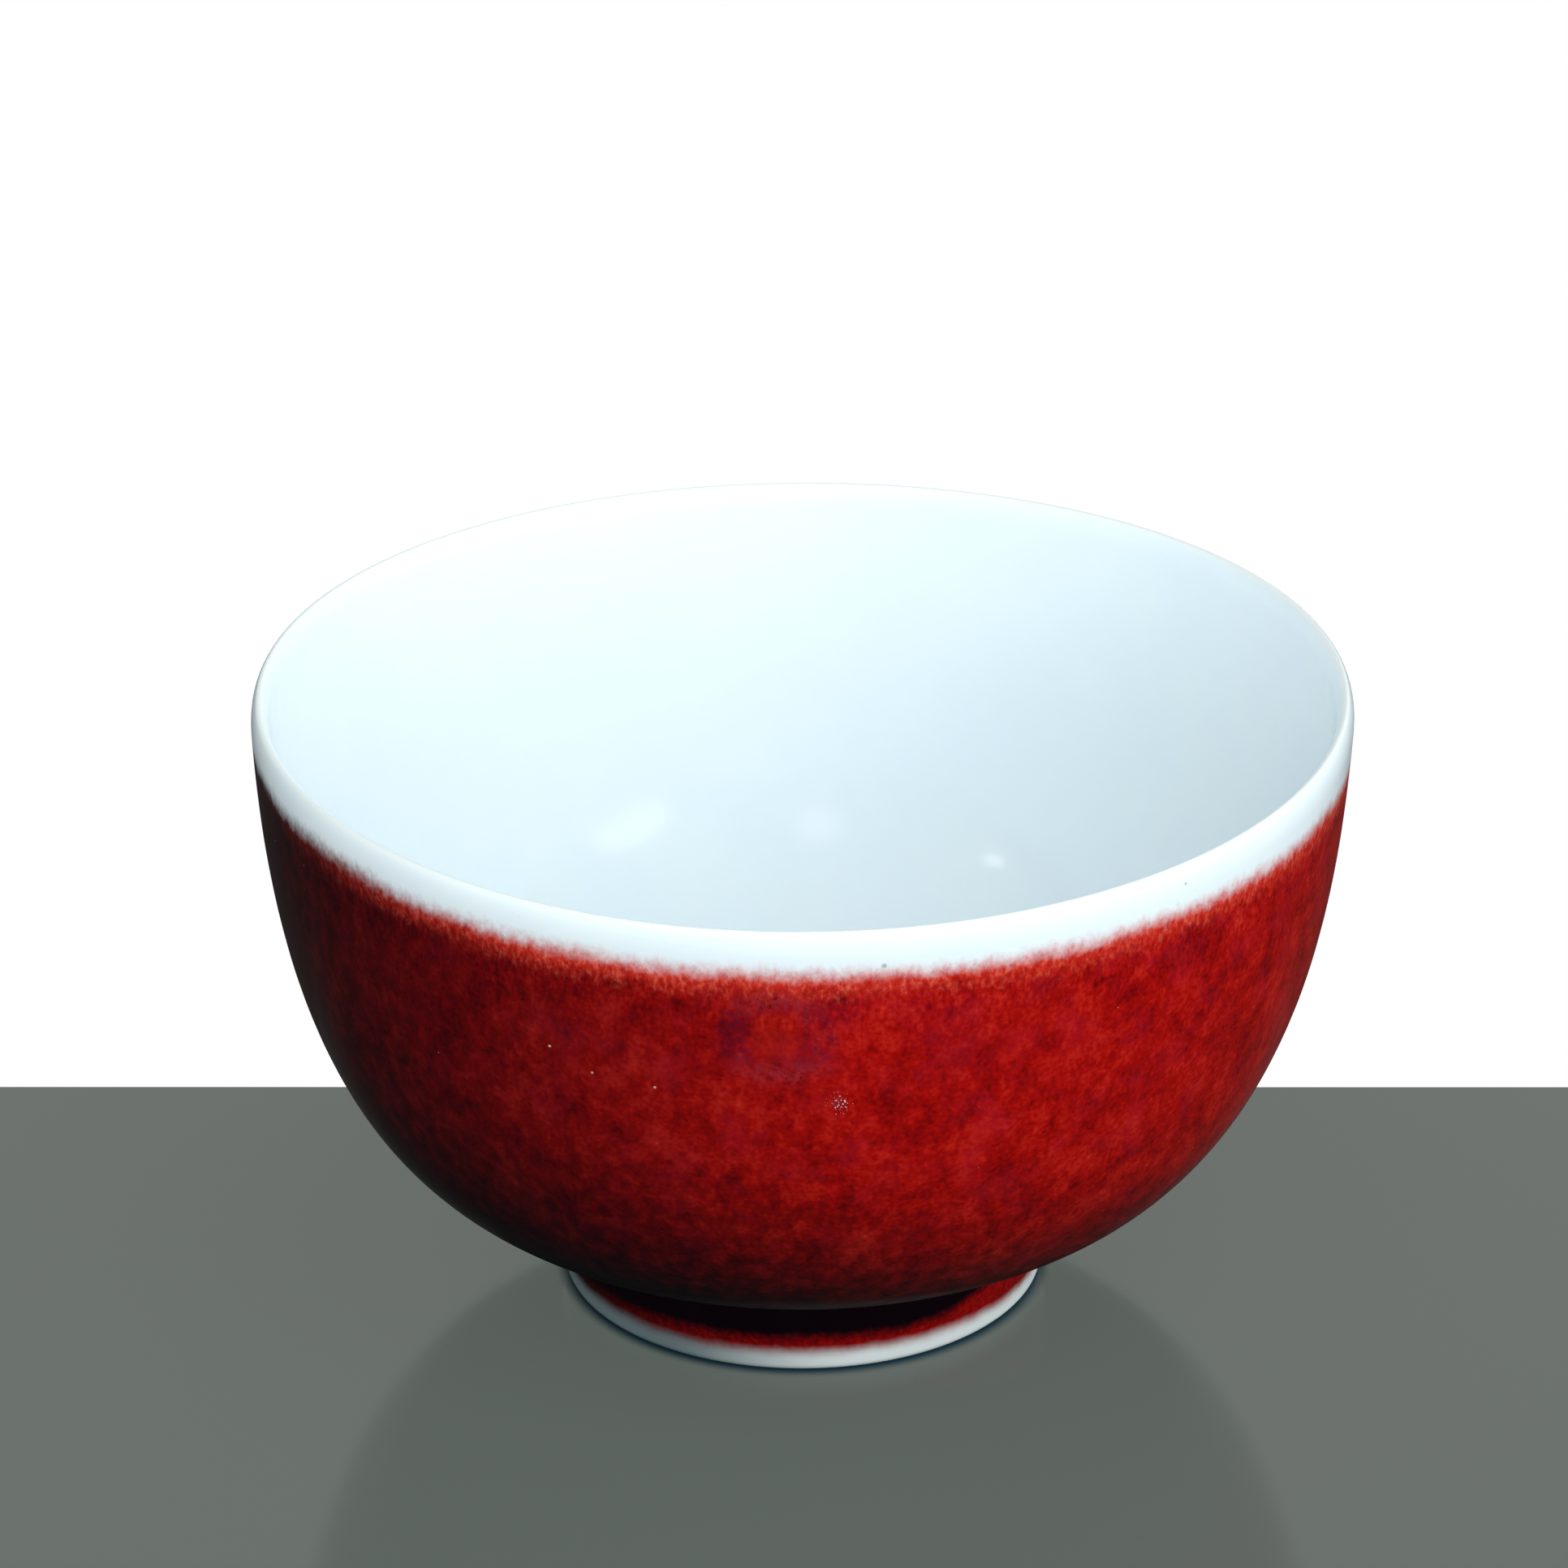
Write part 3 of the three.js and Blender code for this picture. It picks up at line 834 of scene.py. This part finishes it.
class BOWL_OT_foot_red_glaze(Operator):
    """The copper-red coat on the foot's outside, rounded off above the bare tip"""

    bl_idname = "bowl.foot_red_glaze"
    bl_label = "Foot Red Glaze"

    def execute(self, context):
        lines, colours = outlines_and_colours(context)
        shape = lines.shape
        run = lines.foot_outside(shape.bare_foot, shape.foot_height, lines.FOOT_STEPS * 2)

        def thickness(i):
            climbed = i / (len(run) - 1)
            tapered = ease(0.12 + climbed * 3)
            return blend(shape.red_edge, shape.red_glaze, climbed) * tapered

        piece = turned("foot_red_coat", raised(run, thickness) + points(run)[::-1], shape)
        piece.data.materials.append(foot_finish("foot_red_glaze", colours, shape))
        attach(piece, BODY)
        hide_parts("foot_red_glaze")
        return {"FINISHED"}


class BOWL_OT_lip_glaze(Operator):
    """The thin white coat over the lip, from the red outside to the clear glaze inside"""

    bl_idname = "bowl.lip_glaze"
    bl_label = "Lip Glaze"

    def execute(self, context):
        lines, colours = outlines_and_colours(context)
        shape = lines.shape
        run = lines.wall(lines.red_share, 1, lines.BAND_STEPS) + lines.lip()[1:] + lines.inner_band()[1:]
        coat = raised(run, lambda i: shape.lip_glaze)
        piece = turned("lip_coat", coat + points(run)[::-1], shape)
        piece.data.materials.append(outer_finish("lip_glaze", colours, shape))
        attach(piece, BODY)
        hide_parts("lip_glaze")
        return {"FINISHED"}


class BOWL_OT_inner_glaze(Operator):
    """The bluish-white coat inside the bowl"""

    bl_idname = "bowl.inner_glaze"
    bl_label = "Inner Glaze"

    def execute(self, context):
        lines, colours = outlines_and_colours(context)
        shape = lines.shape
        run = lines.inner_wall() + lines.floor()

        def thickness(i):
            return blend(shape.lip_glaze, shape.clear_glaze, ease(i / shape.wall_steps * 5))

        surface = raised(run, thickness)
        piece = turned("inner_coat", points(run)[::-1] + surface, shape)
        piece.data.materials.append(clear_finish("inner_glaze", colours, shape))
        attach(piece, BODY)
        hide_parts("inner_glaze")
        return {"FINISHED"}


class BOWL_OT_base_glaze(Operator):
    """The clear coat in the recess under the bowl"""

    bl_idname = "bowl.base_glaze"
    bl_label = "Base Glaze"

    def execute(self, context):
        lines, colours = outlines_and_colours(context)
        shape = lines.shape
        wall = lines.foot_inside(shape.foot_height, shape.base_stop, lines.FOOT_STEPS)
        fillet = shape.base_fillet
        ceiling = shape.foot_height - shape.clear_glaze
        corner = wall[0].point.x - shape.clear_glaze
        turn_in = arc(Vector((corner - fillet, ceiling - fillet)), fillet, math.pi / 2, 0, lines.ROUND_STEPS)
        down = [place for place in wall if place.point.y < ceiling - fillet]

        def thickness(i):
            left = (len(down) - 1 - i) / len(down)
            return shape.clear_glaze * math.sqrt(ease(0.05 + left * 6))

        outline = [Vector((0, ceiling))] + points(turn_in) + raised(down, thickness)
        outline += points(wall)[::-1] + [Vector((0, shape.foot_height))]
        piece = turned("base_coat", outline, shape)
        piece.data.materials.append(clear_finish("base_glaze", colours, shape))
        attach(piece, BODY)
        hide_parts("base_glaze")
        return {"FINISHED"}


# Stage


def direction(azimuth, elevation):
    """The way from the bowl to something seen at an azimuth, right of the camera, and an elevation."""
    level = math.cos(elevation)
    return Vector((math.sin(azimuth) * level, -math.cos(azimuth) * level, math.sin(elevation)))


Softbox = namedtuple("Softbox", "name azimuth elevation distance width depth power tint")
SOFTBOXES = (
    Softbox("key_softbox", 47, 23.6, 0.95, 0.34, 0.21, 0.62, (1, 0.93, 0.88)),
    Softbox("front_lamp", -5, 33, 0.75, 0.14, 0.14, 0.12, (1, 0.98, 0.96)),
    Softbox("left_lamp", -57, 32, 0.95, 0.09, 0.05, 0.10, (1, 0.95, 0.92)),
)
LIGHT_TARGET = Vector((0, 0, 40 * MM))
Lobe = namedtuple("Lobe", "azimuth elevation strength")
STUDIO_LOBES = (Lobe(0, 35, 1.50), Lobe(-70, 25, 0.54), Lobe(70, 25, 1.30), Lobe(60, 50, 0.25))
STUDIO_TINT = (0.90, 0.972, 0.99, 1)
MIRRORED_TINT = (1, 0.96, 0.91, 1)


def add_softbox(box):
    """A soft round or oval light that faces the bowl's middle."""
    lamp = bpy.data.lights.new(box.name, "AREA")
    lamp.shape = "ELLIPSE"
    lamp.size = box.width
    lamp.size_y = box.depth
    lamp.energy = box.power
    lamp.color = box.tint
    away = direction(math.radians(box.azimuth), math.radians(box.elevation))
    holder = bpy.data.objects.new(box.name, lamp)
    holder.location = LIGHT_TARGET + away * box.distance
    holder.rotation_euler = away.to_track_quat("Z", "Y").to_euler()
    bpy.context.scene.collection.objects.link(holder)


def add_lights():
    for box in SOFTBOXES:
        add_softbox(box)


def brightness_towards(sheet, way, lobe):
    """A broad soft brightness of the studio towards one side."""
    aim = tuple(direction(math.radians(lobe.azimuth), math.radians(lobe.elevation)))
    toward = sheet.add("ShaderNodeVectorMath", {0: way, 1: aim}, operation="DOT_PRODUCT").outputs["Value"]
    return sheet.scaled(sheet.step(toward, 0.5, 1), lobe.strength)


def add_world(stage_colours):
    """White to the camera, a soft studio for its light, and dark but for one pale wall in reflections."""
    world = bpy.data.worlds.new("studio")
    world.use_nodes = True
    sheet = Sheet(world.node_tree)
    way = sheet.add("ShaderNodeTexCoord").outputs["Generated"]
    parts = sheet.add("ShaderNodeSeparateXYZ", {0: way})
    above_table = sheet.step(parts.outputs["Z"], -0.02, 0.02)
    near_horizon = sheet.scaled(above_table, sheet.step(parts.outputs["Z"], 0.35, 0.15))
    glow = sheet.total(
        sheet.scaled(near_horizon, 1.05),
        *[brightness_towards(sheet, way, lobe) for lobe in STUDIO_LOBES],
    )
    dim = sheet.add("ShaderNodeBackground", {"Color": STUDIO_TINT, "Strength": glow})
    panel = sheet.scaled(sheet.step(parts.outputs["Y"], 0.5, 0.88), above_table)
    mirrored = sheet.total(0.032, sheet.scaled(panel, 1.15))
    dark = sheet.add("ShaderNodeBackground", {"Color": MIRRORED_TINT, "Strength": mirrored})
    light_path = sheet.add("ShaderNodeLightPath")
    glossy = light_path.outputs["Is Glossy Ray"]
    unseen = sheet.add("ShaderNodeMixShader", {0: glossy, 1: dim.outputs[0], 2: dark.outputs[0]})
    white = sheet.add("ShaderNodeBackground", {"Color": rgba(stage_colours.backdrop), "Strength": 1.0})
    seen = light_path.outputs["Is Camera Ray"]
    chosen = sheet.add("ShaderNodeMixShader", {0: seen, 1: unseen.outputs[0], 2: white.outputs[0]})
    sheet.add("ShaderNodeOutputWorld", {"Surface": chosen.outputs[0]})
    bpy.context.scene.world = world


def add_floor(stage, colours):
    """A plain grey slab that ends in a straight edge behind the bowl."""
    bevel = stage.floor_bevel
    rows = [(bevel, -stage.floor_thickness), (bevel, -bevel), (bevel * 0.71, -bevel * 0.29), (0, 0)]
    corners = []
    for outward, height in rows:
        side = stage.floor_width / 2 - bevel + outward
        front = bevel - stage.floor_front - outward
        back = stage.floor_back - bevel + outward
        around = ((-side, front), (side, front), (side, back), (-side, back))
        corners += [(across, deep, height) for across, deep in around]
    faces = [tuple(range(len(corners) - 4, len(corners)))]
    for low in range(0, len(corners) - 4, 4):
        for i in range(4):
            j = (i + 1) % 4
            faces.append((low + i, low + j, low + 4 + j, low + 4 + i))
    mesh = bpy.data.meshes.new("floor")
    mesh.from_pydata(corners, [], faces)
    material, sheet, place, _ = new_finish("pale_floor")
    grain = sheet.noise(place, 0.6 * MM, detail=2)
    tint = sheet.mix(sheet.scaled(grain, 0.1), rgba(colours.floor), rgba(colours.floor_grain))
    # Painted shadow: a dark line round the foot, where the floor's colour turns dark and its glow is cut back.
    from_axis = sheet.distance(place, (0, 0, 0))
    outside_painted_shadow = sheet.step(from_axis, stage.painted_shadow_radius, stage.painted_shadow_radius + 2.0 * MM)
    glow_outside_painted_shadow = sheet.math("ADD", 0.03, sheet.scaled(outside_painted_shadow, 0.97))
    tint = sheet.mix(outside_painted_shadow, rgba(colours.painted_contact_shadow), tint)
    polished = sheet.add("ShaderNodeLightPath").outputs["Is Glossy Ray"]
    constants = {
        "Roughness": 0.1,
        "Specular IOR Level": 0.1,
        "Emission Color": rgba(colours.floor_glow),
        "Emission Strength": sheet.scaled(sheet.math("SUBTRACT", 1, polished), glow_outside_painted_shadow),
    }
    finished(material, sheet, tint, sheet.bump(grain, 0.0003 * MM), constants)
    mesh.materials.append(material)
    floor = bpy.data.objects.new("floor", mesh)
    floor.rotation_euler.z = stage.floor_turn
    bpy.context.scene.collection.objects.link(floor)


def add_camera(stage, shape):
    """A long lens at the photograph's viewing angle, aimed a little below the rim's middle."""
    target = Vector((0, 0, shape.height))
    away = direction(0, stage.camera_elevation)
    forward = -away
    right = Vector((1, 0, 0))
    up = right.cross(forward)
    turns = Matrix.Rotation(stage.camera_yaw, 3, up)
    forward, right = turns @ forward, turns @ right
    turns = Matrix.Rotation(stage.camera_pitch, 3, right)
    forward, up = turns @ forward, turns @ up
    turns = Matrix.Rotation(stage.camera_roll, 3, forward)
    right, up = turns @ right, turns @ up
    lens = bpy.data.cameras.new("camera")
    lens.lens = stage.camera_lens
    lens.sensor_width = 36
    camera = bpy.data.objects.new("camera", lens)
    pose = Matrix((right, up, -forward)).transposed().to_4x4()
    pose.translation = target + away * stage.camera_distance
    camera.matrix_world = pose
    bpy.context.scene.collection.objects.link(camera)
    bpy.context.scene.camera = camera


class BOWL_OT_stage(Operator):
    """Floor, lights, backdrop and camera"""

    bl_idname = "bowl.stage"
    bl_label = "Stage"

    def execute(self, context):
        scene = context.scene
        scene.view_settings.view_transform = "Standard"
        add_floor(scene.bowl_stage, scene.bowl_colours)
        add_lights()
        add_world(scene.bowl_colours)
        add_camera(scene.bowl_stage, scene.bowl_shape)
        return {"FINISHED"}


class BOWL_PT_panel(Panel):
    """Lists the bowl's pieces and its sizes"""

    bl_idname = "BOWL_PT_panel"
    bl_label = "Copper-Red Bowl"
    bl_space_type = "VIEW_3D"
    bl_region_type = "UI"
    bl_category = "Bowl"

    def draw(self, context):
        for operator in OPERATORS:
            self.layout.operator(operator.bl_idname)
        for group in (context.scene.bowl_shape, context.scene.bowl_colours, context.scene.bowl_stage):
            box = self.layout.box()
            for name in group.__annotations__:
                box.prop(group, name)


OPERATORS = (
    BOWL_OT_clay_body,
    BOWL_OT_foot_ring,
    BOWL_OT_red_glaze,
    BOWL_OT_foot_red_glaze,
    BOWL_OT_lip_glaze,
    BOWL_OT_inner_glaze,
    BOWL_OT_base_glaze,
    BOWL_OT_stage,
)
CLASSES = (BowlShape, BowlColours, BowlStage, *OPERATORS, BOWL_PT_panel)


def register():
    for one in CLASSES:
        bpy.utils.register_class(one)
    bpy.types.Scene.bowl_shape = PointerProperty(type=BowlShape)
    bpy.types.Scene.bowl_colours = PointerProperty(type=BowlColours)
    bpy.types.Scene.bowl_stage = PointerProperty(type=BowlStage)


def unregister():
    del bpy.types.Scene.bowl_stage
    del bpy.types.Scene.bowl_colours
    del bpy.types.Scene.bowl_shape
    for one in reversed(CLASSES):
        bpy.utils.unregister_class(one)


def main():
    register()
    bpy.ops.bowl.clay_body()
    bpy.ops.bowl.foot_ring()
    bpy.ops.bowl.red_glaze()
    bpy.ops.bowl.foot_red_glaze()
    bpy.ops.bowl.lip_glaze()
    bpy.ops.bowl.inner_glaze()
    bpy.ops.bowl.base_glaze()
    bpy.ops.bowl.stage()


if __name__ == "__main__":
    main()
